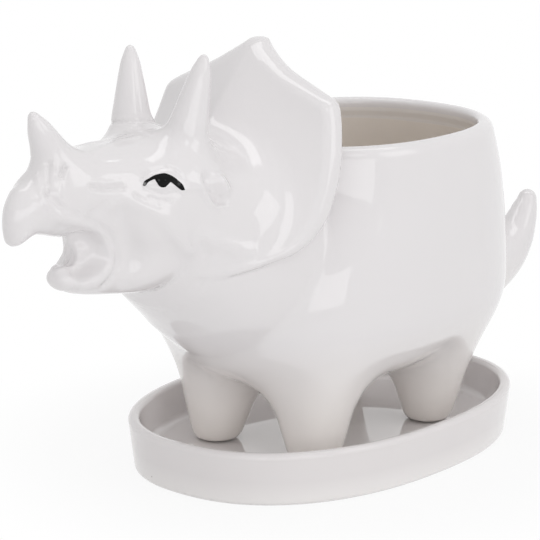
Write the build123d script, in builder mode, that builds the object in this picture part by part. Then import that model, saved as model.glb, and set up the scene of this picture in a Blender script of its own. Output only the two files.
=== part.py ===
from build123d import *
import math
import os

os.makedirs("parts", exist_ok=True)

# Ceramic planter in the shape of a horned dinosaur, standing in an oval saucer.
# The animal faces -X, its left side is -Y, and the saucer stands on z = 0.
# All lengths are in millimetres.

# how every oval section is drawn
section_points = 28
body_roundness = 2.25
head_roundness = 2.1
round_section = 2.0

# saucer
saucer_half_length = 64.6
saucer_half_width = 45.2
saucer_roundness = 2.3
saucer_draft = 1.8
saucer_height = 15.2
saucer_wall = 3.2
saucer_floor = 4.4
saucer_crest_radius = 1.4
saucer_base_radius = 1.3
saucer_inner_radius = 2.5

# pot wall above the widest level: height, foremost x, rearmost x, half width outside
wall_sections = [
    (52.0, -54.0, 60.6, 41.5),
    (60.0, -51.6, 60.7, 41.7),
    (70.0, -46.0, 59.6, 41.3),
    (82.0, -39.0, 57.2, 40.4),
    (93.4, -35.6, 54.2, 38.7),
]
# belly below it: how far the bowl would reach down, and where its rows lie on that
belly_drop = 31.0
belly_shares = (0.968, 0.84, 0.56)
body_wall = 4.0
lip_thickness = 4.7
lip_depth = 3.8
lip_radius = 2.0
# turns of the rounding over the lip, in degrees
lip_turns = (0, 20, 40, 60, 80, 90)
body_floor = 6.0
cavity_sections = 6
drain_radius = 5.0
drain_x = 6.0

# legs: x, y of the foot and of the top, and height above the foot with radius of the taper
front_leg = ((-26.6, 19.2), (-26.0, 19.6))
rear_leg = ((27.8, 16.8), (26.8, 20.0))
leg_profile = [
    (0.0, 4.4),
    (0.5, 5.6),
    (2.2, 7.0),
    (6.4, 8.2),
    (12.6, 10.0),
    (19.6, 11.8),
    (26.0, 12.7),
    (32.0, 12.9),
    (37.0, 12.8),
]

# head and neck: x, z of the section middle, lean of the section in degrees,
# half height, half width
head_sections = [
    (-28.0, 62.0, 50.0, 31.0, 28.0),
    (-46.0, 70.0, 38.0, 29.5, 28.5),
    (-60.0, 79.0, 22.0, 25.0, 25.0),
    (-72.0, 84.3, 9.0, 20.5, 21.5),
    (-84.0, 86.8, 2.0, 17.4, 18.0),
    (-94.0, 90.0, -2.0, 13.6, 13.6),
    (-103.0, 91.6, -7.0, 11.2, 10.2),
    (-112.0, 91.3, -12.0, 10.2, 7.6),
    (-118.0, 90.0, -22.0, 8.4, 5.8),
    (-121.8, 87.8, -38.0, 6.1, 4.5),
    (-124.1, 85.1, -56.0, 4.3, 3.4),
    (-125.3, 82.4, -68.0, 2.4, 2.0),
]
# row where the snout carries on from the neck
snout_start = 4

# lower jaw, same kind of table
jaw_sections = [
    (-73.0, 74.0, 8.0, 11.0, 14.5),
    (-84.0, 71.2, 5.0, 9.2, 14.0),
    (-94.0, 69.8, 1.0, 6.3, 10.4),
    (-102.5, 69.9, -6.0, 4.5, 7.2),
    (-106.8, 70.3, -12.0, 3.7, 4.9),
    (-110.0, 71.0, -18.0, 1.9, 2.8),
]

# frill: a swept back shield; height, then x of the front face on the ridge,
# half way out and at the side
frill_levels = [
    (58.0, -92.0, -79.0, -65.0),
    (72.0, -79.0, -64.0, -48.5),
    (86.0, -66.0, -52.5, -39.0),
    (101.0, -52.8, -42.5, -34.0),
    (112.0, -43.0, -37.0, -32.2),
    (126.0, -30.4, -29.4, -28.4),
]
frill_half_width = 40.0
frill_thickness = 6.4
frill_front_x = -100.0
# half outline of the shield seen from the front: y, z
frill_outline = [
    (0.0, 124.0),
    (3.0, 122.9),
    (8.0, 118.4),
    (14.0, 114.2),
    (21.0, 111.0),
    (26.6, 108.8),
    (30.4, 105.6),
    (32.4, 101.0),
    (33.3, 95.0),
    (33.4, 86.0),
    (32.6, 78.0),
    (30.2, 72.5),
    (26.4, 69.0),
    (18.0, 66.5),
    (0.0, 66.5),
]
frill_corner = 5

# horns: radii and the ends of their middle lines
nose_horn_foot = (-106.0, 0.0, 93.0)
nose_horn_tip = (-116.2, 0.0, 112.2)
nose_horn_foot_radius = 7.6
nose_horn_tip_radius = 2.1
brow_horn_foot = (-71.8, 8.4, 94.0)
brow_horn_tip = (-67.0, 13.0, 122.8)
brow_horn_foot_radius = 7.2
brow_horn_tip_radius = 2.0
horn_swell = 0.4
# turns of the arc that rounds a tip, in degrees
tip_turns = (0.0, 42.0, 82.0)

# tail: x, z, radius along its middle line
tail_path = [
    (46.0, 45.0, 13.5),
    (62.0, 41.0, 11.6),
    (76.0, 39.4, 9.2),
    (87.0, 41.2, 7.2),
    (94.6, 45.8, 5.9),
    (99.2, 51.0, 4.8),
    (102.2, 55.6, 3.6),
    (104.0, 59.2, 1.9),
]


def oval_points(half_a, half_b, roundness):
    # points of a superellipse, starting on its first axis
    pts = []
    for i in range(section_points):
        turn = 2 * math.pi * i / section_points
        c = math.cos(turn)
        s = math.sin(turn)
        power = 2 / roundness
        u = math.copysign(abs(c) ** power, c)
        v = math.copysign(abs(s) ** power, s)
        pts.append((half_a * u, half_b * v))
    return pts


def oval_face(plane, half_a, half_b, roundness):
    with BuildSketch(plane) as sk:
        with BuildLine():
            Spline(*oval_points(half_a, half_b, roundness), periodic=True)
        make_face()
    return sk.sketch


def level_loft(table, roundness, ruled=False):
    # loft through horizontal ovals; each row is height, front, rear, half width
    faces = []
    for level, front, rear, half_width in table:
        plane = Plane(((front + rear) / 2, 0, level))
        faces.append(oval_face(plane, (rear - front) / 2, half_width, roundness))
    return loft(sections=faces, ruled=ruled)


def spine_loft(table, roundness):
    # loft through upright ovals threaded on the middle plane of the animal
    faces = []
    for x, z, lean, half_height, half_width in table:
        a = math.radians(lean)
        plane = Plane((x, 0, z), x_dir=(0, 1, 0), z_dir=(-math.cos(a), 0, math.sin(a)))
        faces.append(oval_face(plane, half_width, half_height, roundness))
    return loft(sections=faces)


def horn_form(foot, tip, foot_radius, tip_radius):
    # round horn with gently swelling sides and a rounded tip, turned about its own axis
    start = Vector(*foot)
    axis = Vector(*tip) - start
    along = axis.normalized()
    side = along.cross(Vector(0, 1, 0)).normalized()
    length = axis.length
    middle = (foot_radius + tip_radius) / 2 + horn_swell
    arc = []
    for turn in tip_turns:
        a = math.radians(turn)
        arc.append((tip_radius * math.cos(a), length + tip_radius * math.sin(a)))
    with BuildPart() as horn_part:
        with BuildSketch(Plane(start, x_dir=side, z_dir=side.cross(along))):
            with BuildLine():
                Line((0, 0), (foot_radius, 0))
                Spline((foot_radius, 0), (middle, length / 2), arc[0])
                ThreePointArc(*arc)
                Line(arc[-1], (0, arc[-1][1]))
                Line((0, arc[-1][1]), (0, 0))
            make_face()
        revolve(axis=Axis(start, along))
    return horn_part.part


def tail_loft(table):
    faces = []
    count = len(table)
    for i, (x, z, radius) in enumerate(table):
        before = table[max(i - 1, 0)]
        after = table[min(i + 1, count - 1)]
        direction = Vector(after[0] - before[0], 0, after[1] - before[1]).normalized()
        plane = Plane((x, 0, z), x_dir=(0, 1, 0), z_dir=direction)
        faces.append(oval_face(plane, radius, radius, round_section))
    return loft(sections=faces)


def belly_rows():
    # rows of the bowl under the widest level, closing in as they go down
    level, front, rear, half_width = wall_sections[0]
    middle = (front + rear) / 2
    rows = []
    for share in belly_shares:
        size = (1 - share**body_roundness) ** (1 / body_roundness)
        half_length = (rear - front) / 2 * size
        row = (level - belly_drop * share, middle - half_length, middle + half_length)
        rows.append(row + (half_width * size,))
    return rows


def body_row(level):
    # front, rear and half width of the outside at a height
    for low, high in zip(body_sections, body_sections[1:]):
        if low[0] <= level <= high[0]:
            share = (level - low[0]) / (high[0] - low[0])
            return [a + (b - a) * share for a, b in zip(low[1:], high[1:])]
    return list(body_sections[-1][1:])


def saucer_form(halves, wall, low, high):
    # tapered oval block; wall is how far it lies inside the outer surface
    faces = []
    for level, out in ((low, halves[0]), (high, halves[1])):
        plane = Plane.XY.offset(level)
        faces.append(oval_face(plane, out[0] - wall, out[1] - wall, saucer_roundness))
    return loft(sections=faces)


def chevron_face(level, ridge_x, mid_x, side_x):
    # level slice of the frill: swept back sides meeting in a crease
    half = frill_half_width
    back = frill_thickness
    front_line = [(ridge_x, 0), (mid_x, half / 2), (side_x, half)]
    back_line = [(x + back, y) for x, y in front_line]
    with BuildSketch(Plane.XY.offset(level)) as sk:
        with BuildLine():
            Spline(*front_line)
            Line(front_line[-1], back_line[-1])
            Spline(*reversed(back_line))
            mirror(about=Plane.XZ)
        make_face()
    return sk.sketch


# whole forms that the pieces are cut from
body_sections = belly_rows() + wall_sections
lip_base = body_sections[-1][0]
body_bottom = body_sections[0][0]
outer_body = level_loft(body_sections, body_roundness)
neck_form = spine_loft(head_sections[: snout_start + 1], head_roundness)
head_form = neck_form + spine_loft(head_sections[snout_start:], head_roundness)
jaw_form = spine_loft(jaw_sections, head_roundness)
tail_form = tail_loft(tail_path)

rim_half = (saucer_half_length, saucer_half_width)
base_half = (saucer_half_length - saucer_draft, saucer_half_width - saucer_draft)
saucer_outer = saucer_form((base_half, rim_half), 0, 0, saucer_height)
saucer_well = saucer_form((base_half, rim_half), saucer_wall, saucer_floor, saucer_height)

cavity_low = body_bottom + body_floor
cavity_high = lip_base - lip_depth
cavity_rows = []
for i in range(cavity_sections):
    level = cavity_low + (cavity_high - cavity_low) * i / (cavity_sections - 1)
    front, rear, half_width = body_row(level)
    inset = body_wall
    if i == 0:
        inset = body_wall + body_floor
    cavity_rows.append((level, front + inset, rear - inset, half_width - inset))
cavity_form = level_loft(cavity_rows, body_roundness)
front, rear, half_width = body_sections[-1][1:]
mouth_rows = []
for level in (cavity_high, lip_base):
    row = (level, front + lip_thickness, rear - lip_thickness, half_width - lip_thickness)
    mouth_rows.append(row)
mouth_form = level_loft(mouth_rows, body_roundness)


def lip_stack(start_inset, sign):
    # rounding of the lip: rings that close in from one side as they rise
    rows = []
    for turn in lip_turns:
        a = math.radians(turn)
        inset = start_inset + sign * lip_radius * (1 - math.cos(a))
        level = lip_base + lip_radius * math.sin(a)
        rows.append((level, front + inset, rear - inset, half_width - inset))
    return level_loft(rows, body_roundness, True)


lip_form = lip_stack(0, 1) - lip_stack(lip_thickness, -1)

shield_faces = []
for level, ridge_x, mid_x, side_x in frill_levels:
    shield_faces.append(chevron_face(level, ridge_x, mid_x, side_x))
shield_form = loft(sections=shield_faces)

nose_form = horn_form(nose_horn_foot, nose_horn_tip, nose_horn_foot_radius, nose_horn_tip_radius)

# saucer with an upright wall, rounded crest and flat unglazed base
with BuildPart() as saucer:
    add(saucer_outer)
    add(saucer_well, mode=Mode.SUBTRACT)
    fillet(saucer.edges().group_by(Axis.Z)[-1], saucer_crest_radius)
    fillet(saucer.edges().group_by(Axis.Z)[0], saucer_base_radius)
    well_edge = saucer.edges().filter_by_position(Axis.Z, saucer_floor, saucer_floor)
    fillet(well_edge, saucer_inner_radius)
saucer.part.label = "saucer"
export_step(saucer.part, "parts/saucer.step")

# hollow pot body with a thick rounded lip over a wider cavity
with BuildPart() as pot_body:
    add(outer_body)
    add(mouth_form, mode=Mode.SUBTRACT)
    add(cavity_form, mode=Mode.SUBTRACT)
    with Locations((drain_x, 0, body_bottom + body_floor / 2)):
        Cylinder(drain_radius, body_floor * 2, mode=Mode.SUBTRACT)
    add(lip_form)
pot_body.part.label = "pot_body"
export_step(pot_body.part, "parts/pot_body.step")

# four tapered legs with rounded feet, ending where they meet the belly
leg_height = leg_profile[-1][0]
leg_places = {
    "leg_front_left": (front_leg, -1),
    "leg_front_right": (front_leg, 1),
    "leg_rear_left": (rear_leg, -1),
    "leg_rear_right": (rear_leg, 1),
}
for leg_name, ((leg_foot, leg_top), side) in leg_places.items():
    leg_faces = []
    for rise, radius in leg_profile:
        share = rise / leg_height
        leg_x, leg_y = [a + (b - a) * share for a, b in zip(leg_foot, leg_top)]
        plane = Plane((leg_x, side * leg_y, saucer_floor + rise))
        leg_faces.append(oval_face(plane, radius, radius, round_section))
    leg_form = loft(sections=leg_faces)
    with BuildPart() as leg:
        add(leg_form)
        add(outer_body, mode=Mode.SUBTRACT)
    leg.part.label = leg_name
    export_step(leg.part, "parts/" + leg_name + ".step")

# neck and upper head with the hooked beak
with BuildPart() as head:
    add(head_form)
    add(outer_body, mode=Mode.SUBTRACT)
    add(lip_form, mode=Mode.SUBTRACT)
head.part.label = "head"
export_step(head.part, "parts/head.step")

# lower jaw under the open mouth
with BuildPart() as lower_jaw:
    add(jaw_form)
    add(head_form, mode=Mode.SUBTRACT)
lower_jaw.part.label = "lower_jaw"
export_step(lower_jaw.part, "parts/lower_jaw.step")

# frill: level chevrons joined upwards, cut to the outline of the shield
with BuildPart() as frill:
    with BuildSketch(Plane.YZ.offset(frill_front_x)):
        with BuildLine():
            Spline(*frill_outline[: frill_corner + 1])
            Spline(*frill_outline[frill_corner:-1])
            Line(frill_outline[-2], frill_outline[-1])
            mirror(about=Plane.YZ)
        make_face()
    extrude(amount=-frill_front_x)
    add(shield_form, mode=Mode.INTERSECT)
    add(head_form, mode=Mode.SUBTRACT)
    add(jaw_form, mode=Mode.SUBTRACT)
    add(outer_body, mode=Mode.SUBTRACT)
    add(lip_form, mode=Mode.SUBTRACT)
frill.part.label = "frill"
export_step(frill.part, "parts/frill.step")

# horns
with BuildPart() as nose_horn:
    add(nose_form)
    add(head_form, mode=Mode.SUBTRACT)
nose_horn.part.label = "nose_horn"
export_step(nose_horn.part, "parts/nose_horn.step")

for horn_name, side in {"brow_horn_left": -1, "brow_horn_right": 1}.items():
    foot = (brow_horn_foot[0], side * brow_horn_foot[1], brow_horn_foot[2])
    tip = (brow_horn_tip[0], side * brow_horn_tip[1], brow_horn_tip[2])
    brow_form = horn_form(foot, tip, brow_horn_foot_radius, brow_horn_tip_radius)
    with BuildPart() as horn:
        add(brow_form)
        add(head_form, mode=Mode.SUBTRACT)
    horn.part.label = horn_name
    export_step(horn.part, "parts/" + horn_name + ".step")

# tail curving up behind the pot
with BuildPart() as tail:
    add(tail_form)
    add(outer_body, mode=Mode.SUBTRACT)
tail.part.label = "tail"
export_step(tail.part, "parts/tail.step")
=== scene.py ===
import math

import bpy
import numpy as np
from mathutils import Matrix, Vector


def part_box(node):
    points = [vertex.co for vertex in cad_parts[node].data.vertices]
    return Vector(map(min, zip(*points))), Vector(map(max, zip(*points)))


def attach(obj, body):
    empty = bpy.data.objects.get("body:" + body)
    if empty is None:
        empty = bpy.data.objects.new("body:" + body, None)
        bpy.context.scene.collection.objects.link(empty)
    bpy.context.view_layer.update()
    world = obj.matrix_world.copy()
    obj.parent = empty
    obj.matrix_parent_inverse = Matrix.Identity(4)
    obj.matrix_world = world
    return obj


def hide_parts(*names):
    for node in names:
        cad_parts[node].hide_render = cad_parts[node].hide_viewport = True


# White glazed planter in the shape of a horned dinosaur, in its oval saucer.
# The animal faces -X and its left side is -Y, as in the frame.
# The planter's skin is one sculpted form, worked out in millimetres as a function of place that
# is negative inside the clay and nearly the distance to its surface. It is meshed once and shared
# out to one piece for each CAD node. Rows of sizes are joined by a smooth curve through them.

MM = 0.001
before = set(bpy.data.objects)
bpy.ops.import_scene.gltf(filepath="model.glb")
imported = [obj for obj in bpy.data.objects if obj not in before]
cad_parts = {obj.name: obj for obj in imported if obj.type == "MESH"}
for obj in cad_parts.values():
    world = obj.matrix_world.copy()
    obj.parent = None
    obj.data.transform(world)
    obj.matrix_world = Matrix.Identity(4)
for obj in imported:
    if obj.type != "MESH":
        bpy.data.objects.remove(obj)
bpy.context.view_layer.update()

# Pot

rim_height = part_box("pot_body")[1][2] / MM
body_roundness = 2.25
# outside above the widest level: height, foremost x, rearmost x, half width
wall_rows = [
    (46.0, -55.0, 62.3, 42.9),
    (54.0, -54.0, 62.2, 42.8),
    (62.0, -51.0, 61.4, 42.4),
    (70.0, -46.0, 60.1, 41.9),
    (82.0, -39.0, 57.5, 40.7),
    (96.0, -35.0, 53.6, 38.4),
]
# bowl below it: its top, how far it reaches down at x = 0, how much less per mm of x
belly_level = 50.0
belly_drop = 27.2
belly_lean = 0.06
belly_roundness = 2.35
# wall, and the thicker lip at the top of it
body_wall = 4.0
lip_depth = 5.0
lip_extra = 0.7
lip_step = 2.0
lip_outer_round = 3.4
lip_inner_round = 3.0
cavity_floor = 30.0
cavity_round = 7.0
# how far above the rim the cavity is cut, and the round of that cut
opening_rise = 8.0
opening_round = 2.0
# how far below the rim the inside's own material starts, and the height where its glaze ends
clay_start = 3.0
glaze_edge = rim_height - 6.2

# Legs

foot_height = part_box("leg_front_left")[0][2] / MM
leg_top = 43.0
# x and distance from the middle plane, at the foot and where the leg has run into the belly
front_leg = (-26.8, 18.3, -24.6, 16.0)
rear_leg = (28.3, 16.9, 25.4, 19.4)
# height and radius
leg_rows = [
    (4.4, 4.6),
    (4.9, 5.8),
    (6.6, 7.2),
    (10.8, 8.6),
    (17.0, 10.4),
    (24.0, 12.2),
    (31.0, 13.2),
    (40.0, 13.6),
]
foot_round = 1.2
leg_top_round = 10.0
front_leg_fillet = 10.0
rear_leg_fillet = 12.0

# Tail: x, z and radius, given as half height and half width

tail_roundness = 2.0
tail_fillet = 6.0
tail_rows = [
    (46.0, 45.0, 13.5, 13.5),
    (63.0, 40.4, 12.0, 12.0),
    (77.2, 38.6, 9.9, 9.9),
    (88.4, 40.6, 7.9, 7.9),
    (95.8, 45.2, 6.4, 6.4),
    (99.9, 50.3, 5.1, 5.1),
    (102.5, 54.8, 3.9, 3.9),
    (103.5, 57.2, 3.0, 3.0),
]

# Head

head_roundness = 2.1
head_stations = 200
# neck and skull: x, z, half height, half width
head_rows = [
    (-12.0, 49.0, 30.0, 24.0),
    (-25.0, 56.5, 30.5, 27.0),
    (-38.0, 64.0, 30.5, 28.5),
    (-50.0, 71.6, 29.0, 28.0),
    (-61.3, 77.6, 26.0, 25.0),
    (-72.0, 83.8, 21.0, 21.5),
    (-84.0, 86.8, 17.4, 18.0),
    (-94.0, 90.0, 13.6, 13.6),
    (-103.0, 91.6, 11.2, 10.2),
    (-109.0, 92.2, 9.3, 8.2),
    (-114.0, 92.4, 7.2, 6.6),
]
# lower jaw, same kind of rows
jaw_rows = [
    (-73.0, 74.0, 11.0, 14.5),
    (-84.0, 71.2, 9.2, 14.0),
    (-94.0, 69.8, 6.3, 10.4),
    (-102.5, 69.8, 4.7, 7.2),
    (-107.0, 70.3, 3.6, 4.8),
]
# beak in the middle plane, x and z, from the brow round the hook and back inside the head
beak_profile = [
    (-110.0, 98.0),
    (-114.5, 97.2),
    (-118.5, 96.3),
    (-121.0, 96.1),
    (-123.0, 95.3),
    (-125.7, 91.5),
    (-126.5, 86.5),
    (-125.7, 82.3),
    (-124.6, 81.5),
    (-123.0, 81.7),
    (-119.5, 83.1),
    (-116.5, 83.2),
    (-110.0, 81.6),
    (-107.5, 81.0),
    (-103.0, 84.0),
    (-102.0, 91.0),
    (-104.0, 97.0),
]
# x and half width of the beak
beak_widths = [(-128.0, 3.4), (-126.0, 4.0), (-122.0, 4.9), (-118.0, 5.9), (-112.0, 7.4), (-102.0, 10.0)]
# how far its sides round off towards the outline, as a share of the half width
beak_side_round = 1.1
beak_fillet = 3.0
# how far round the profile, and to each side, the beak is worked out
beak_margin = 8.0
beak_reach = 20.0
jaw_fillet = 4.0
# fleshy block between neck, skull and jaw: middle and half sizes
throat_middle = (-91.0, 0.0, 77.0)
throat_half = (13.8, 8.4, 8.0)

# Frill

frill_half_width = 40.0
frill_thickness = 6.75
# height, then x of the front face on the ridge, half way out and at the side
frill_rows = [
    (58.0, -92.0, -79.0, -65.0),
    (72.0, -79.0, -64.0, -48.5),
    (86.0, -66.0, -52.5, -39.0),
    (101.0, -52.8, -42.5, -34.0),
    (112.0, -43.0, -37.0, -32.2),
    (126.0, -30.4, -29.4, -28.4),
]
# right half of the shield's outline from the front: y, z
frill_half_outline = [
    (0.0, 124.0),
    (2.2, 123.6),
    (4.6, 121.8),
    (12.0, 117.2),
    (20.0, 113.6),
    (26.4, 110.7),
    (28.6, 109.4),
    (30.1, 107.4),
    (32.2, 100.2),
    (34.0, 91.6),
    (34.8, 81.0),
    (33.8, 74.8),
    (31.4, 71.0),
    (27.8, 69.3),
    (23.6, 69.2),
    (10.0, 72.0),
]
ridge_round = 0.03
frill_rim_round = 2.6
frill_face_round = 1.0
# the fillets along the frill: behind its face, before it, and how soon one turns into the other
frill_fillets = (1.6, 5.0)
neck_fillets = (2.0, 6.0)
frill_turn = 3.0

# Horns: foot and tip of the middle line, and radii from the foot to the tip

nose_horn = ((-104.6, 0.0, 93.0), (-115.8, 0.0, 112.4), (7.9, 6.1, 4.3, 2.4))
brow_horn = ((-71.8, 8.4, 94.0), (-67.0, 13.0, 122.5), (10.6, 6.4, 4.9, 3.6, 2.2))
horn_fillet = 5.0
horn_stations = 40
# length of the rounded tip in tip radii, and the least slope that the distance is worked out with
tip_cap = 2.5
least_slope = 0.4
# fine groove round the right brow horn: distance up from its foot, width and depth
horn_ring = (10.6, 0.5, 0.4)
# nothing farther from the horn's axis than this is grooved
horn_ring_reach = 9.5

# Carving, on both sides of the head

# each line: its width, its height or depth, and its places (x, distance from the middle plane, z)
carved_lines = {
    "lip fold": (1.0, -0.65, [
        (-117.5, 5.5, 94.5), (-116.0, 6.5, 92.5), (-111.0, 8.0, 89.0), (-107.0, 8.0, 87.0),
        (-103.0, 8.5, 85.0), (-99.5, 9.0, 82.0), (-97.0, 8.5, 78.5), (-96.0, 9.0, 74.5),
        (-97.5, 9.0, 71.0), (-100.0, 8.0, 68.0),
    ]),
    "lip roll": (1.9, 0.9, [
        (-114.5, 6.5, 88.5), (-110.0, 7.5, 87.0), (-105.5, 8.0, 85.5), (-101.5, 8.0, 83.0),
        (-98.5, 8.0, 79.0), (-97.5, 8.0, 75.5), (-99.0, 8.0, 72.5), (-102.0, 7.5, 70.0),
        (-105.5, 5.5, 69.0),
    ]),
    "mouth corner": (2.8, -1.7, [
        (-106.5, 3.0, 81.5), (-103.5, 4.5, 80.0), (-102.0, 5.5, 77.5), (-103.0, 4.5, 74.5),
        (-106.0, 4.0, 72.5),
    ]),
    "mouth hollow": (1.6, -1.4, [(-105.0, 0.0, 76.5), (-105.5, 1.0, 75.0)]),
    "inner lip": (0.9, 0.6, [(-110.0, 0.5, 72.5), (-107.5, 2.0, 73.5), (-104.5, 2.5, 75.5)]),
    "beak seam": (0.8, -0.6, [
        (-114.5, 3.5, 101.5), (-116.0, 4.5, 98.5), (-116.5, 5.0, 96.5), (-117.5, 5.5, 94.5),
    ]),
    "beak edge": (0.8, 0.35, [
        (-117.5, 2.0, 99.0), (-119.0, 4.5, 96.0), (-118.5, 5.5, 93.0), (-117.5, 6.0, 91.0),
    ]),
    "nostril": (0.7, -0.9, [(-113.0, 6.0, 98.5), (-112.0, 6.0, 100.0), (-111.5, 6.0, 100.5)]),
    "nose fold": (0.9, 0.4, [
        (-113.5, 6.0, 97.5), (-114.5, 6.5, 94.5), (-114.0, 7.0, 92.0), (-111.5, 7.5, 89.5),
    ]),
    "snout fold": (0.8, -0.7, [(-105.5, 9.5, 95.0), (-101.5, 10.5, 94.0), (-97.0, 12.0, 94.0)]),
    "snout ridge": (0.7, 0.3, [(-105.5, 9.5, 96.0), (-101.5, 10.5, 95.5), (-97.0, 12.0, 95.5)]),
    "upper lid crease": (0.6, -0.4, [
        (-90.5, 13.5, 95.0), (-88.0, 13.0, 96.5), (-84.5, 13.5, 97.0), (-82.0, 14.5, 97.0),
        (-80.5, 16.5, 95.5), (-79.5, 18.0, 92.5),
    ]),
    "lower lid": (0.6, -0.4, [
        (-90.5, 14.0, 93.0), (-86.5, 16.0, 91.0), (-84.0, 17.0, 91.0), (-81.5, 18.0, 91.0),
    ]),
    "upper wrinkle": (0.7, -0.35, [(-94.0, 13.5, 91.5), (-92.0, 14.5, 90.0), (-88.0, 16.5, 88.0)]),
    "lower wrinkle": (0.6, -0.3, [(-90.0, 15.0, 90.5), (-87.5, 16.5, 89.5), (-85.0, 17.5, 89.0)]),
    "cheek ridge": (2.2, 0.8, [
        (-99.5, 11.5, 89.0), (-97.0, 12.5, 90.5), (-93.5, 14.0, 89.0), (-90.0, 15.5, 87.0),
        (-87.0, 17.0, 84.5), (-84.0, 17.5, 81.0), (-78.0, 17.5, 75.0), (-77.0, 19.0, 77.5),
        (-75.5, 20.0, 78.5), (-71.5, 21.5, 76.5), (-63.5, 24.5, 73.0),
    ]),
    "cheek valley": (3.2, -1.1, [
        (-98.5, 11.5, 87.5), (-95.5, 12.0, 82.5), (-92.5, 11.0, 77.0), (-92.5, 10.5, 72.5),
        (-94.5, 10.0, 68.0),
    ]),
    "ear hollow": (1.9, -1.4, [(-73.0, 19.5, 93.0), (-72.0, 20.0, 91.0), (-70.0, 21.5, 87.5)]),
    "ear bump": (1.6, 1.3, [(-68.5, 20.5, 92.5), (-67.5, 21.0, 90.0)]),
    "ear rim": (0.8, 0.55, [
        (-75.0, 18.5, 94.5), (-75.0, 19.5, 91.0), (-73.5, 20.5, 88.0), (-71.5, 21.5, 85.5),
        (-68.0, 22.5, 86.0),
    ]),
    "jaw line": (1.1, -0.6, [
        (-73.5, 19.5, 73.5), (-73.0, 18.0, 69.5), (-73.5, 16.5, 65.5), (-73.5, 11.0, 62.0),
        (-73.0, 3.5, 59.0),
    ]),
    "brow edge": (1.2, 0.35, [
        (-100.0, 4.5, 102.0), (-94.5, 3.0, 103.0), (-86.5, 1.0, 103.0), (-81.0, 1.5, 103.5),
    ]),
}
# how far a line's slopes reach, in widths, and where the carving ends towards the body
carved_reach = 2.6
carved_end = -55.0
# softer forms: middle, half sizes, and height or depth
soft_forms = {
    "eye socket": ((-85.6, 15.8, 93.2), (7.0, 6.0, 5.0), -0.6),
    "eyeball": ((-85.2, 15.9, 93.3), (3.4, 4.0, 2.3), 0.9),
}

# Painted eye

# its upper and lower outline from the side, x and z, from the front corner to the rear one
eye_upper = [
    (-91.1, 93.8), (-90.1, 94.7), (-88.7, 95.2), (-87.1, 95.7), (-85.8, 95.9), (-84.4, 96.0),
    (-83.6, 95.8), (-82.8, 95.3), (-82.2, 94.7), (-81.6, 93.9), (-81.1, 93.3), (-80.7, 92.6),
    (-80.5, 91.5),
]
eye_lower = [
    (-91.1, 93.7), (-90.7, 93.5), (-90.1, 93.7), (-89.3, 94.3), (-88.0, 94.7), (-87.3, 94.75),
    (-87.2, 94.1), (-87.1, 93.4), (-86.8, 92.9), (-86.3, 92.6), (-85.5, 92.6), (-84.8, 93.0),
    (-84.0, 93.5), (-83.6, 93.6), (-82.8, 92.8), (-82.1, 92.1), (-81.2, 91.4), (-80.5, 91.4),
]
# a first guess of its distance from the middle plane
eye_out = 16.0
eye_columns = 90
eye_rows = 9
eye_stations = 120
paint_height = 0.07
# lighter spots of the paint: place, radius and strength
eye_lights = [
    ((-86.4, 14.8, 94.3), 0.55, 0.5),
    ((-84.8, 15.5, 94.1), 0.6, 0.5),
    ((-90.6, 13.8, 93.9), 1.2, 1.3),
    ((-81.5, 17.1, 92.9), 0.9, 0.6),
]

# Spacing of the skin's mesh, fine on the head, with the places where it changes along each axis

head_gap, body_gap = ((0.8, 1.25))
grid_x = [(-130.0, head_gap), (-32.0, body_gap), (110.0, body_gap)]
grid_y = [(-45.0, body_gap), (-37.0, head_gap), (37.0, body_gap), (45.0, body_gap)]
grid_z = [(3.0, body_gap), (60.0, head_gap), (128.0, head_gap)]

# how near the cavity's surface a face lies that is the pot's, and one that has the inside's material
cavity_band = 2.5
clay_band = 1.0

# Camera, lamps, room and floor, in metres

camera_target = Vector((-0.0245, 0.0, 0.057))
camera_azimuth = math.radians(49.85)
camera_fall = math.radians(13.53)
camera_distance = 0.7027
camera_lens = 165.75
sensor_width = 36.0
lamp_aim = Vector((0.0, 0.0, 0.06))
# name, place, width, height, and brightness of the lamp's face, where 1 is white
softboxes = [
    ("window_softbox", (0.346, -1.39, 0.8), 0.75, 0.75, 1.3),
    ("key_softbox", (-0.5, -1.25, 1.25), 0.45, 0.45, 1.4),
    ("low_softbox", (-0.8, -0.9, 0.25), 1.5, 0.44, 1.2),
    ("top_softbox", (0.1, 0.1, 1.4), 1.6, 0.36, 1.8),
]
# strength of the room before the object and behind it
room_before = 0.62
room_behind = 0.42
floor_half = 3.0
# distances from the origin over which the floor turns white, and its share of white before them
shadow_reach = (0.06, 0.12)
shadow_share = 0.88

# Shaping tools

# tiny keeps roots away from zero, and far is the distance given to a form that isn't near
tiny = 1e-9
far = 1e3


def smooth_min(a, b, reach):
    # union of two forms with a fillet about as wide as reach
    share = np.clip(0.5 + 0.5 * (b - a) / reach, 0, 1)
    return b + (a - b) * share - reach * share * (1 - share)


def smooth_max(a, b, reach):
    # what two forms share, with its edge rounded over
    return -smooth_min(-a, -b, reach)


def curve_through(rows, count=80):
    # smooth Catmull-Rom curve through the rows of a table
    rows = np.array(rows, float)
    padded = np.vstack([2 * rows[0] - rows[1], rows, 2 * rows[-1] - rows[-2]])
    place = np.linspace(0, len(rows) - 1, count)
    i = np.minimum(place.astype(int), len(rows) - 2)
    t = (place - i)[:, None]
    p0, p1, p2, p3 = (padded[i + k] for k in range(4))
    square = (2 * p0 - 5 * p1 + 4 * p2 - p3) * t**2
    cube = (3 * p1 - p0 - 3 * p2 + p3) * t**3
    return 0.5 * (2 * p1 + (p2 - p0) * t + square + cube)


def level_table(rows):
    # smooth table looked up by height: the heights, the values and their slopes
    curve = curve_through(rows)
    curve = curve[np.argsort(curve[:, 0])]
    return curve[:, 0], curve[:, 1:], np.gradient(curve[:, 1:], curve[:, 0], axis=0)


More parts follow.
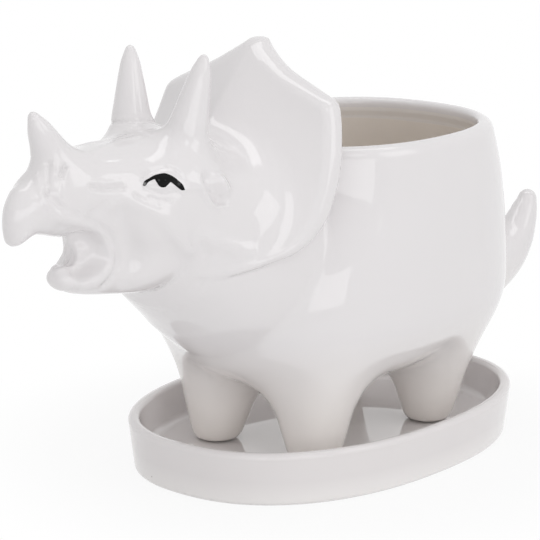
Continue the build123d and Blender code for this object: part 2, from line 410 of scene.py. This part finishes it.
def look_up(table, level):
    heights, values, slopes = table
    level = np.clip(level, heights[0], heights[-1])
    columns = range(values.shape[1])
    picked = [np.interp(level, heights, values[:, k]) for k in columns]
    rises = [np.interp(level, heights, slopes[:, k]) for k in columns]
    return picked, rises


def oval_gap(u, v, half_u, half_v, rise_u, rise_v, roundness):
    # distance to an oval tube along a line; the rises are the slopes of its half sizes
    a = np.abs(u / half_u)
    b = np.abs(v / half_v)
    rho = (a**roundness + b**roundness + tiny) ** (1 / roundness)
    grow_a = (a / rho) ** (roundness - 1)
    grow_b = (b / rho) ** (roundness - 1)
    steep = grow_a * a * rise_u / half_u + grow_b * b * rise_v / half_v
    return (rho - 1) / np.sqrt((grow_a / half_u) ** 2 + (grow_b / half_v) ** 2 + steep**2)


def spine_frame(x, z, spine):
    # nearest place on a spine in the middle plane, the distance across it and past its end
    shape = np.broadcast(x, z).shape
    x, z = (part.ravel() for part in np.broadcast_arrays(x, z))
    line = spine[:, :2]
    place = np.zeros(x.shape)
    batch = 40000
    for start in range(0, len(x), batch):
        part = slice(start, start + batch)
        spots = np.stack([x[part], z[part]], -1)
        place[part] = np.argmin((line**2).sum(1) - 2 * spots @ line.T, axis=1)
    tangent = np.gradient(line, axis=0)
    step = np.linalg.norm(tangent, axis=1)
    rows = np.arange(len(spine))
    last = len(spine) - 1
    for _ in range(3):
        held = np.clip(place, 0, last)
        stride = np.interp(held, rows, step)
        tx, tz = (np.interp(held, rows, tangent[:, k]) / stride for k in (0, 1))
        dx = x - np.interp(held, rows, line[:, 0])
        dz = z - np.interp(held, rows, line[:, 1])
        place = held + (dx * tx + dz * tz) / stride
    past = (np.maximum(-place, 0) + np.maximum(place - last, 0)) * stride
    across = dz * tx - dx * tz
    return np.clip(place, 0, last).reshape(shape), across.reshape(shape), past.reshape(shape), step


def spine_sweep(x, y, z, spine, roundness):
    # oval sections (half height, half width) threaded on a spine in the middle plane
    place, across, past, step = spine_frame(x, z, spine)
    rows = np.arange(len(spine))
    half_height, half_width = (np.interp(place, rows, spine[:, k]) for k in (2, 3))
    height_rise, width_rise = (np.interp(place, rows, np.gradient(spine[:, k]) / step) for k in (2, 3))
    side = oval_gap(across, y, half_height, half_width, height_rise, width_rise, roundness)
    end_round = np.minimum(half_height, half_width)
    capped = np.hypot(np.maximum(side + end_round, 0), past) - end_round
    return np.where(past > 0, capped, side)


def ellipsoid(x, y, z, middle, half):
    offsets = [spot - centre for spot, centre in zip((x, y, z), middle)]
    reach = np.sqrt(sum((offset / size) ** 2 for offset, size in zip(offsets, half)))
    slant = np.sqrt(sum((offset / size**2) ** 2 for offset, size in zip(offsets, half)))
    return reach * (reach - 1) / np.maximum(slant, tiny)


def outline_gap(u, v, points):
    # signed distance to a closed outline in a plane
    u, v = np.broadcast_arrays(u, v)
    nearest = np.full(u.shape, np.inf)
    inside = np.zeros(u.shape, bool)
    for (au, av), (bu, bv) in zip(points, np.roll(points, -1, axis=0)):
        du, dv = bu - au, bv - av
        share = np.clip(((u - au) * du + (v - av) * dv) / (du * du + dv * dv), 0, 1)
        nearest = np.minimum(nearest, (u - au - share * du) ** 2 + (v - av - share * dv) ** 2)
        if av != bv:
            crosses = (av > v) != (bv > v)
            inside ^= crosses & (u < au + (v - av) * du / dv)
    return np.sqrt(nearest) * np.where(inside, -1, 1)


def line_gap(spots, line):
    # distance from each spot to a line through points
    nearest = np.full(len(spots), np.inf)
    for start, end in zip(line, line[1:]):
        run = end - start
        share = np.clip((spots - start) @ run / (run @ run), 0, 1)
        away = spots - start - share[:, None] * run
        nearest = np.minimum(nearest, (away**2).sum(1))
    return np.sqrt(nearest)


def slope(form, x, y, z, step=0.15):
    # how fast a form grows along each axis
    along_x = form(x + step, y, z) - form(x - step, y, z)
    along_y = form(x, y + step, z) - form(x, y - step, z)
    along_z = form(x, y, z + step) - form(x, y, z - step)
    return np.stack([along_x, along_y, along_z], -1) / (2 * step)


# Forms of the animal

wall_table = level_table(wall_rows)
leg_table = level_table(leg_rows)
frill_table = level_table(frill_rows)
tail_spine = curve_through(tail_rows)
head_spine = curve_through(head_rows, head_stations)
jaw_spine = curve_through(jaw_rows, head_stations)
beak_outline = curve_through(beak_profile, 4 * len(beak_profile))
frill_right = curve_through(frill_half_outline, 3 * len(frill_half_outline))
frill_outline = np.vstack([frill_right, frill_right[:0:-1] * (-1, 1)])


def pot_outside(x, y, z):
    # oval wall above the belly's level, rounded bowl below it
    (front, rear, half_width), (front_rise, rear_rise, width_rise) = look_up(wall_table, z)
    half_length = (rear - front) / 2
    u = (x - (front + rear) / 2) / half_length
    v = y / half_width
    depth = belly_drop - belly_lean * x
    drop = np.maximum(belly_level - z, 0) / depth
    total = np.abs(u) ** body_roundness + np.abs(v) ** body_roundness + drop**belly_roundness
    rho = (total + tiny) ** (1 / body_roundness)
    grow_u, grow_v = ((np.abs(part) / rho) ** (body_roundness - 1) for part in (u, v))
    fall = belly_roundness / body_roundness
    grow_drop = fall * drop ** (belly_roundness - 1) / rho ** (body_roundness - 1)
    drift = np.sign(u) * (front_rise + rear_rise) / 2 + np.abs(u) * (rear_rise - front_rise) / 2
    steep = grow_u * drift / half_length + grow_v * np.abs(v) * width_rise / half_width
    steep = steep + grow_drop / depth
    return (rho - 1) / np.sqrt((grow_u / half_length) ** 2 + (grow_v / half_width) ** 2 + steep**2)


def pot_hollow(x, y, z):
    # the pot's cavity, a little narrower inside the lip
    lip = np.clip((z - (rim_height - lip_depth)) / lip_step + 0.5, 0, 1)
    inside = pot_outside(x, y, z) + body_wall + lip_extra * lip
    return smooth_max(inside, cavity_floor - z, cavity_round)


def leg(x, y, z, place):
    # both legs of a pair
    (radius,), (rise,) = look_up(leg_table, z)
    foot_x, foot_y, top_x, top_y = place
    share = np.clip((z - foot_height) / (leg_top - foot_height), 0, 1)
    across = x - foot_x - (top_x - foot_x) * share
    aside = np.abs(y) - foot_y - (top_y - foot_y) * share
    gap = (np.hypot(across, aside) - radius) / np.sqrt(1 + rise**2)
    return smooth_max(smooth_max(gap, foot_height - z, foot_round), z - leg_top, leg_top_round)


def tail(x, y, z):
    return spine_sweep(x, y, z, tail_spine, tail_roundness)


def frill_face(x, y, z):
    # distance in front of the curved face of the frill, and the depth of clay behind it
    (ridge, middle, side), (ridge_rise, _, _) = look_up(frill_table, z)
    out = np.abs(y) / frill_half_width
    soft_out = np.sqrt(out**2 + ridge_round**2)
    lean = 4 * middle - 3 * ridge - side
    bend = 2 * (ridge + side - 2 * middle)
    face_x = ridge + lean * soft_out + bend * soft_out**2
    sweep = (lean + 2 * bend * out) / frill_half_width
    slant = np.sqrt(1 + sweep**2 + ridge_rise**2)
    return (face_x - x) / slant, frill_thickness / slant


def frill(x, y, z):
    face, depth = frill_face(x, y, z)
    plate = smooth_max(face, -face - depth, frill_face_round)
    return smooth_max(plate, outline_gap(y, z, frill_outline), frill_rim_round)


def horn(x, y, z, shape):
    # round horn whose radius follows its stations, with a rounded tip
    foot, tip, radii = shape
    dx, dy, dz = (b - a for a, b in zip(foot, tip))
    length = math.sqrt(dx * dx + dy * dy + dz * dz)
    along = ((x - foot[0]) * dx + (y - foot[1]) * dy + (z - foot[2]) * dz) / length
    across = (x - foot[0]) ** 2 + (y - foot[1]) ** 2 + (z - foot[2]) ** 2 - along**2
    across = np.sqrt(np.maximum(across, 0))
    stations = np.linspace(0, length, horn_stations)
    profile = curve_through([(i, radius) for i, radius in enumerate(radii)], horn_stations)[:, 1]
    radius = np.interp(along, stations, profile)
    rise = np.interp(along, stations, np.gradient(profile, stations))
    cap = tip_cap * radii[-1]
    past = np.maximum(along - length - radii[-1] + cap, 0) / cap
    rho = np.sqrt((across / radius) ** 2 + past**2 + tiny)
    steep = (past / cap - across**2 * rise / radius**3) / rho
    side = (rho - 1) / np.maximum(np.hypot(across / radius**2 / rho, steep), least_slope / radius)
    return np.maximum(side, -along)


def beak(x, y, z):
    # pillow over the beak's profile, worked out only near it
    x, y, z = np.broadcast_arrays(x, y, z)
    low = np.min(beak_profile, axis=0) - beak_margin
    high = np.max(beak_profile, axis=0) + beak_margin
    near = (x > low[0]) & (x < high[0]) & (z > low[1]) & (z < high[1]) & (np.abs(y) < beak_reach)
    gap = outline_gap(x[near], z[near], beak_outline)
    half_width = np.interp(x[near], *np.transpose(beak_widths))
    out = np.abs(y[near]) / half_width
    side_round = beak_side_round * half_width
    rim = np.maximum(1 + gap / side_round, 0)
    rho = np.sqrt(out**2 + rim**2 + tiny)
    form = np.full(x.shape, far)
    form[near] = (rho - 1) * rho / np.hypot(out / half_width, rim / side_round)
    return form


def head(x, y, z):
    return smooth_min(spine_sweep(x, y, z, head_spine, head_roundness), beak(x, y, z), beak_fillet)


def jaw(x, y, z):
    return spine_sweep(x, y, z, jaw_spine, head_roundness)


def throat(x, y, z):
    return ellipsoid(x, y, z, throat_middle, throat_half)


def planter(x, y, z):
    # the whole planter before the carving
    side = np.abs(y)
    body = smooth_max(pot_outside(x, y, z), z - rim_height, lip_outer_round)
    body = smooth_min(body, leg(x, y, z, front_leg), front_leg_fillet)
    body = smooth_min(body, leg(x, y, z, rear_leg), rear_leg_fillet)
    body = smooth_min(body, tail(x, y, z), tail_fillet)
    animal = smooth_min(head(x, y, z), jaw(x, y, z), jaw_fillet)
    animal = smooth_min(animal, throat(x, y, z), jaw_fillet)
    # wide fillets in front of the frill, tight ones behind its rim
    before = np.clip(1 + frill_face(x, y, z)[0] / frill_turn, 0, 1)
    frill_fillet, neck_fillet = (a + (b - a) * before for a, b in (frill_fillets, neck_fillets))
    animal = smooth_min(animal, frill(x, y, z), frill_fillet)
    animal = smooth_min(animal, horn(x, y, z, nose_horn), horn_fillet)
    animal = smooth_min(animal, horn(x, side, z, brow_horn), horn_fillet)
    clay = smooth_min(body, animal, neck_fillet)
    hollow = smooth_max(pot_hollow(x, y, z), z - rim_height - opening_rise, opening_round)
    return smooth_max(clay, -hollow, lip_inner_round)


def ring_groove(x, y, z):
    # depth of the groove round the right brow horn
    rise, width, depth = horn_ring
    foot, tip, _ = (np.array(part) for part in brow_horn)
    axis = (tip - foot) / np.linalg.norm(tip - foot)
    offsets = [spot - start for spot, start in zip((x, y, z), foot)]
    along = sum(part * offset for part, offset in zip(axis, offsets))
    around = sum(offset**2 for offset in offsets) - along**2
    return depth * np.exp(-(((along - rise) / width) ** 2)) * (around < horn_ring_reach**2)


def relief(x, y, z):
    # height of the carving over the plain form
    spots = np.stack([x, np.abs(y), z], -1)
    height = np.zeros(x.shape)
    for width, rise, places in carved_lines.values():
        line = curve_through(places, 4 * len(places))
        margin = carved_reach * width
        near = ((spots > line.min(axis=0) - margin) & (spots < line.max(axis=0) + margin)).all(1)
        height[near] += rise * np.exp(-((line_gap(spots[near], line) / width) ** 2))
    for middle, half, rise in soft_forms.values():
        height += rise * np.exp(-(((spots - middle) / half) ** 2).sum(1))
    return height - ring_groove(x, y, z)


# From the form to meshes


def spaced(stations):
    # grid lines whose spacing changes along an axis; each station is a place and the spacing after it
    lines = [stations[0][0]]
    for (start, gap), (end, _) in zip(stations, stations[1:]):
        count = max(1, round((end - start) / gap))
        lines += [start + (end - start) * (i + 1) / count for i in range(count)]
    return np.array(lines)


def surface_net(form, xs, ys, zs):
    # points and quads of the surface where form is zero: one point for each grid cell that it
    # passes through, and one quad round each grid edge that it cuts
    field = form(xs[:, None, None], ys[None, :, None], zs[None, None, :])
    inside = field < 0
    lines = (xs, ys, zs)
    cells = np.array(inside.shape) - 1
    ids, spots, quads = [], [], []
    for axis in range(3):
        low = [slice(None)] * 3
        high = [slice(None)] * 3
        low[axis], high[axis] = slice(None, -1), slice(1, None)
        at = np.argwhere(inside[tuple(low)] != inside[tuple(high)])
        end = at.copy()
        end[:, axis] += 1
        f0, f1 = field[tuple(at.T)], field[tuple(end.T)]
        spot = np.stack([lines[k][at[:, k]] for k in range(3)], -1)
        spot[:, axis] += f0 / (f0 - f1) * (lines[axis][end[:, axis]] - spot[:, axis])
        b, c = (axis + 1) % 3, (axis + 2) % 3
        corners = []
        for back_b, back_c in ((1, 1), (0, 1), (0, 0), (1, 0)):
            cell = at.copy()
            cell[:, b] -= back_b
            cell[:, c] -= back_c
            corners.append(cell)
        fits = np.all([(cell >= 0).all(1) & (cell < cells).all(1) for cell in corners], axis=0)
        numbers = np.stack([np.ravel_multi_index(cell[fits].T, cells) for cell in corners], -1)
        turned = f0[fits] > 0
        numbers[turned] = numbers[turned][:, ::-1]
        quads.append(numbers)
        ids.append(numbers.ravel())
        spots.append(np.repeat(spot[fits], 4, axis=0))
    ids, spots, quads = np.concatenate(ids), np.concatenate(spots), np.concatenate(quads)
    used, index = np.unique(ids, return_inverse=True)
    weight = np.bincount(index)
    points = np.stack([np.bincount(index, spots[:, k]) / weight for k in range(3)], -1)
    return points, np.searchsorted(used, quads)


def unit(vectors):
    return vectors / np.linalg.norm(vectors, axis=1, keepdims=True)


def settle(form, points, rounds=3):
    # moves points onto the surface, and returns them with the surface's normals
    for _ in range(rounds):
        pull = slope(form, *points.T)
        step = form(*points.T) / np.maximum((pull**2).sum(1), 0.05)
        points = points - pull * np.clip(step, -0.6, 0.6)[:, None]
    return points, unit(slope(form, *points.T))


def carve(points, normals):
    # lifts the points of the head by the relief and turns their normals with it
    points, normals = points.copy(), normals.copy()
    near = points[:, 0] < carved_end
    spots, facing = points[near], normals[near]
    lean = slope(relief, *spots.T)
    points[near] = spots + facing * relief(*spots.T)[:, None]
    normals[near] = unit(facing - (lean - (lean * facing).sum(1)[:, None] * facing))
    return points, normals


def mesh_piece(name, points, normals, faces, body):
    # a smooth mesh from the faces' own points, riding on a body
    used, index = np.unique(faces, return_inverse=True)
    mesh = bpy.data.meshes.new(name)
    mesh.from_pydata((points[used] * MM).tolist(), [], index.reshape(faces.shape).tolist())
    mesh.shade_smooth()
    mesh.normals_split_custom_set_from_vertices(normals[used].tolist())
    piece = bpy.data.objects.new(name, mesh)
    bpy.context.scene.collection.objects.link(piece)
    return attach(piece, body)


# Node tools


def set_sockets(tree, node, sockets):
    # each value is a number, a colour or the output of another node
    for key, value in sockets.items():
        if isinstance(value, bpy.types.NodeSocket):
            tree.links.new(value, node.inputs[key])
        else:
            node.inputs[key].default_value = value


def add_node(tree, kind, sockets, **settings):
    node = tree.nodes.new(kind)
    for key, value in settings.items():
        setattr(node, key, value)
    set_sockets(tree, node, sockets)
    return node


def ranged(tree, value, start, end, low=0.0, high=1.0, step="LINEAR"):
    # low at the start and high at the end
    sockets = {"Value": value, "From Min": start, "From Max": end, "To Min": low, "To Max": high}
    return add_node(tree, "ShaderNodeMapRange", sockets, interpolation_type=step).outputs["Result"]


def mixed(tree, share, a, b, kind="RGBA", blend="MIX"):
    sockets = {"Factor": share, "A": a, "B": b}
    node = add_node(tree, "ShaderNodeMix", sockets, data_type=kind, blend_type=blend)
    return node.outputs["Result"]


def calculate(tree, operation, *values):
    sockets = dict(enumerate(values))
    return add_node(tree, "ShaderNodeMath", sockets, operation=operation).outputs["Value"]


def noise(tree, place, scale, detail):
    sockets = {"Vector": place, "Scale": scale, "Detail": detail}
    return add_node(tree, "ShaderNodeTexNoise", sockets).outputs["Fac"]


def bump(tree, height, strength, distance):
    sockets = {"Height": height, "Strength": strength, "Distance": distance}
    return add_node(tree, "ShaderNodeBump", sockets).outputs["Normal"]


def object_place(tree):
    # place on the object, and its height
    place = add_node(tree, "ShaderNodeTexCoord", {}).outputs["Object"]
    return place, add_node(tree, "ShaderNodeSeparateXYZ", {"Vector": place}).outputs["Z"]


def linear(red, green, blue):
    # a colour written as it looks on screen, 0 to 255
    values = [channel / 255 for channel in (red, green, blue)]
    return tuple(v / 12.92 if v <= 0.04045 else ((v + 0.055) / 1.055) ** 2.4 for v in values) + (1.0,)


def new_material(name):
    material = bpy.data.materials.new(name)
    material.use_nodes = True
    return material, material.node_tree, material.node_tree.nodes["Principled BSDF"]


# Materials

mottle_tint = (0.9, 0.88, 0.86, 1.0)
pinhole_colour = linear(120, 104, 92)
# how far the end of the glaze inside the pot wanders up and down, and how wide it is
glaze_sway = 1.6
glaze_edge_width = 0.5


def glaze(name, colour, foot_tint_and_painted_light, foot_tint_and_light_levels):
    # thick white glaze: warmer and lighter towards the foot, faintly mottled, softly wavy, with a few
    # pinholes; the lighter foot is painted light that brightens what lies in shade low down
    material, tree, shader = new_material(name)
    place, height = object_place(tree)
    # painted light: below the given levels the colour turns lighter as well as warmer, brightening the shaded
    # legs and saucer floor
    low, high = (level * MM for level in foot_tint_and_light_levels)
    tone = mixed(tree, ranged(tree, height, low, high), foot_tint_and_painted_light, colour)
    cloud = noise(tree, place, scale=38.0, detail=3.0)
    mottle = ranged(tree, cloud, 0.35, 0.65, low=0.0, high=0.05)
    tone = mixed(tree, mottle, tone, mottle_tint, blend="MULTIPLY")
    cells = add_node(tree, "ShaderNodeTexVoronoi", {"Vector": place, "Scale": 62.0})
    pinholes = ranged(tree, cells.outputs["Distance"], 0.012, 0.022, low=0.7, high=0.0)
    waves = bump(tree, noise(tree, place, scale=55.0, detail=1.0), strength=0.12, distance=0.0012)
    set_sockets(tree, shader, {
        "Base Color": mixed(tree, pinholes, tone, pinhole_colour),
        "Roughness": 0.03,
        "IOR": 1.5,
        "Coat Weight": 0.25,
        "Coat Roughness": 0.015,
        "Normal": waves,
        "Coat Normal": waves,
    })
    return material


def glazed_clay(name, glaze_colour, clay_colour, stain_colour, edge):
    # inside of the pot: glaze runs over the lip and ends in a wavy line above bare matt clay
    material, tree, shader = new_material(name)
    place, height = object_place(tree)
    clay = mixed(tree, noise(tree, place, scale=45.0, detail=5.0), clay_colour, stain_colour)
    run = noise(tree, place, scale=28.0, detail=1.0)
    sway = calculate(tree, "MULTIPLY_ADD", run, glaze_sway * MM, height)
    glazed = ranged(tree, sway, edge * MM, (edge + glaze_edge_width) * MM)
    grain = noise(tree, place, scale=1800.0, detail=2.0)
    set_sockets(tree, shader, {
        "Base Color": mixed(tree, glazed, clay, glaze_colour),
        "Roughness": ranged(tree, glazed, 0.0, 1.0, low=0.8, high=0.08),
        "Normal": bump(tree, grain, strength=0.12, distance=0.0002),
    })
    return material


def black_enamel(name):
    # brushed black: two dark grey lights in the iris, and thinner paint at the ends of the stroke.
    # Both eyes share them, because places are taken without their signs.
    material, tree, shader = new_material(name)
    place, _ = object_place(tree)
    folded = add_node(tree, "ShaderNodeVectorMath", {0: place}, operation="ABSOLUTE").outputs["Vector"]
    light = 0.0
    for (x, y, z), radius, strength in eye_lights:
        spot = (abs(x) * MM, y * MM, z * MM)
        gap = add_node(tree, "ShaderNodeVectorMath", {0: folded, 1: spot}, operation="DISTANCE")
        glow = ranged(tree, gap.outputs["Value"], 0.0, radius * MM, low=strength, high=0.0, step="SMOOTHSTEP")
        light = calculate(tree, "ADD", light, glow)
    brushed = calculate(tree, "MULTIPLY", light, noise(tree, place, scale=900.0, detail=2.0))
    set_sockets(tree, shader, {
        "Base Color": mixed(tree, brushed, linear(9, 9, 10), linear(170, 170, 170)),
        "Roughness": 0.3,
        "Specular IOR Level": 0.12,
    })
    return material


# The foot colours are lighter than the glaze above them: painted light that brightens the legs under the
# belly and the floor of the saucer, which lie in shade.
planter_glaze = glaze(
    "planter_glaze", colour=linear(236, 233, 234), foot_tint_and_painted_light=linear(252, 247, 242), foot_tint_and_light_levels=(8.0, 44.0)
)
saucer_glaze = glaze(
    "saucer_glaze", colour=linear(233, 229, 229), foot_tint_and_painted_light=linear(244, 241, 240), foot_tint_and_light_levels=(1.0, 7.0)
)
pot_inside = glazed_clay(
    "pot_inside",
    glaze_colour=linear(240, 236, 233),
    clay_colour=linear(241, 235, 228),
    stain_colour=linear(234, 226, 218),
    edge=glaze_edge,
)
eye_black = black_enamel("eye_black")


# Pieces


def own_gaps(x, y, z):
    # how far a point is from each node's own form
    left = y < 0
    pairs = {
        "leg_front": leg(x, y, z, front_leg),
        "leg_rear": leg(x, y, z, rear_leg),
        "brow_horn": horn(x, np.abs(y), z, brow_horn),
    }
    gaps = {}
    for name, gap in pairs.items():
        gaps[name + "_left"] = np.where(left, gap, far)
        gaps[name + "_right"] = np.where(left, far, gap)
    gaps["nose_horn"] = horn(x, y, z, nose_horn)
    gaps["tail"] = tail(x, y, z)
    gaps["lower_jaw"] = jaw(x, y, z)
    gaps["frill"] = frill(x, y, z)
    gaps["head"] = np.minimum(head(x, y, z), throat(x, y, z))
    # the cavity's wall is the pot's own, whatever lies behind it
    cavity_wall = (np.abs(pot_hollow(x, y, z)) < cavity_band) & (z < rim_height)
    gaps["pot_body"] = np.where(cavity_wall, -far, pot_outside(x, y, z))
    return gaps


def inside_faces(middles):
    # faces of the cavity, below the round of the lip
    x, y, z = middles.T
    below_lip = z < rim_height - clay_start
    behind_wall = pot_outside(x, y, z) < -body_wall / 2
    return below_lip & behind_wall & (np.abs(pot_hollow(x, y, z)) < clay_band)


def sculpted_planter():
    points, quads = surface_net(planter, spaced(grid_x), spaced(grid_y), spaced(grid_z))
    points, normals = settle(planter, points)
    middles = points[quads].mean(1)
    points, normals = carve(points, normals)
    gaps = own_gaps(*middles.T)
    names = sorted(gaps)
    owner = np.argmin([gaps[name] for name in names], axis=0)
    for i, name in enumerate(names):
        mine = owner == i
        piece = mesh_piece(name + "_skin", points, normals, quads[mine], "planter")
        piece.data.materials.append(planter_glaze)
        if name == "pot_body":
            piece.data.materials.append(pot_inside)
            within = inside_faces(middles[mine]).astype(np.int32)
            piece.data.polygons.foreach_set("material_index", within)
        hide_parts(name)


def eye_paint(side, name):
    # brushed lid, iris and lash in black, laid on the glaze over the side of the head
    upper, lower = (curve_through(rows, eye_stations) for rows in (eye_upper, eye_lower))
    upper, lower = (line[np.argsort(line[:, 0])] for line in (upper, lower))
    start, end = max(upper[0, 0], lower[0, 0]), min(upper[-1, 0], lower[-1, 0])
    across = np.linspace(start, end, eye_columns)
    top = np.interp(across, *upper.T)
    bottom = np.minimum(np.interp(across, *lower.T), top)
    share = np.linspace(0, 1, eye_rows)[:, None]
    x = np.tile(across, eye_rows)
    z = (bottom + (top - bottom) * share).ravel()
    spots = np.stack([x, np.full(x.shape, eye_out), z], -1)
    # the spots slide sideways onto the glaze
    for _ in range(8):
        pull = slope(planter, *spots.T)
        spots[:, 1] -= np.clip(planter(*spots.T) / np.maximum(pull[:, 1], 0.3), -1, 1)
    spots, normals = carve(*settle(planter, spots, 0))
    spots = spots + normals * paint_height
    spots[:, 1] *= side
    normals[:, 1] *= side
    corner = np.arange(eye_rows * eye_columns).reshape(eye_rows, eye_columns)
    faces = np.stack([corner[:-1, :-1], corner[:-1, 1:], corner[1:, 1:], corner[1:, :-1]], -1)
    faces = faces.reshape(-1, 4)
    if side > 0:
        faces = faces[:, ::-1]
    piece = mesh_piece(name, spots, normals, faces, "planter")
    piece.data.materials.append(eye_black)


def glazed_saucer():
    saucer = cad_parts["saucer"]
    saucer.data.materials.clear()
    saucer.data.materials.append(saucer_glaze)
    saucer.data.shade_smooth()


# Floor, light and camera


def seen_directly(tree):
    # 1 for what the camera sees, straight, in a reflection or through glass
    rays = add_node(tree, "ShaderNodeLightPath", {}).outputs
    mirrored = calculate(tree, "MAXIMUM", rays["Is Glossy Ray"], rays["Is Transmission Ray"])
    return calculate(tree, "MAXIMUM", rays["Is Camera Ray"], mirrored)


def stage_floor():
    # white floor that keeps the object's shadow near it and fades into the background
    half = floor_half
    mesh = bpy.data.meshes.new("floor")
    corners = [(-half, -half, 0), (half, -half, 0), (half, half, 0), (-half, half, 0)]
    mesh.from_pydata(corners, [], [(0, 1, 2, 3)])
    floor = bpy.data.objects.new("floor", mesh)
    bpy.context.scene.collection.objects.link(floor)
    material, tree, shader = new_material("floor_white")
    set_sockets(tree, shader, {
        "Base Color": (0.9, 0.9, 0.9, 1.0),
        "Roughness": 0.9,
        "Specular IOR Level": 0.0,
    })
    place = add_node(tree, "ShaderNodeNewGeometry", {}).outputs["Position"]
    reach = add_node(tree, "ShaderNodeVectorMath", {0: place}, operation="LENGTH").outputs["Value"]
    fade = ranged(tree, reach, *shadow_reach, low=shadow_share, high=1.0, step="SMOOTHSTEP")
    white = add_node(tree, "ShaderNodeEmission", {"Strength": 1.0}).outputs["Emission"]
    share = calculate(tree, "MULTIPLY", fade, seen_directly(tree))
    sockets = {0: share, 1: shader.outputs["BSDF"], 2: white}
    look = add_node(tree, "ShaderNodeMixShader", sockets).outputs["Shader"]
    set_sockets(tree, tree.nodes["Material Output"], {"Surface": look})
    mesh.materials.append(material)


def softbox(name, place, width, height, brightness):
    # flat lamp aimed at the object
    lamp = bpy.data.lights.new(name, "AREA")
    lamp.shape = "RECTANGLE"
    lamp.size, lamp.size_y = width, height
    lamp.energy = brightness * math.pi * width * height
    light = bpy.data.objects.new(name, lamp)
    light.location = place
    light.rotation_euler = (lamp_aim - Vector(place)).to_track_quat("-Z", "Y").to_euler()
    bpy.context.scene.collection.objects.link(light)


def studio_world():
    # pale room, dimmer behind the object, that looks white itself
    world = bpy.data.worlds.new("studio")
    bpy.context.scene.world = world
    world.use_nodes = True
    tree = world.node_tree
    look = add_node(tree, "ShaderNodeTexCoord", {}).outputs["Generated"]
    ahead = (math.sin(camera_azimuth), math.cos(camera_azimuth), 0)
    behind = add_node(tree, "ShaderNodeVectorMath", {0: look, 1: ahead}, operation="DOT_PRODUCT")
    facing = behind.outputs["Value"]
    room = ranged(tree, facing, 0.1, 0.95, low=room_before, high=room_behind, step="SMOOTHSTEP")
    set_sockets(tree, tree.nodes["Background"], {
        "Color": (1.0, 1.0, 1.0, 1.0),
        "Strength": mixed(tree, seen_directly(tree), room, 1.0, kind="FLOAT"),
    })


def photo_camera():
    data = bpy.data.cameras.new("camera")
    data.lens = camera_lens
    data.sensor_width = sensor_width
    camera = bpy.data.objects.new("camera", data)
    level = math.cos(camera_fall)
    ahead = (math.sin(camera_azimuth) * level, math.cos(camera_azimuth) * level)
    sight = Vector((*ahead, -math.sin(camera_fall)))
    camera.location = camera_target - sight * camera_distance
    camera.rotation_euler = sight.to_track_quat("-Z", "Y").to_euler()
    bpy.context.scene.collection.objects.link(camera)
    bpy.context.scene.camera = camera


sculpted_planter()
eye_paint(-1, "eye_left")
eye_paint(1, "eye_right")
glazed_saucer()
stage_floor()
studio_world()
for row in softboxes:
    softbox(*row)
photo_camera()
bpy.context.scene.view_settings.view_transform = "Standard"
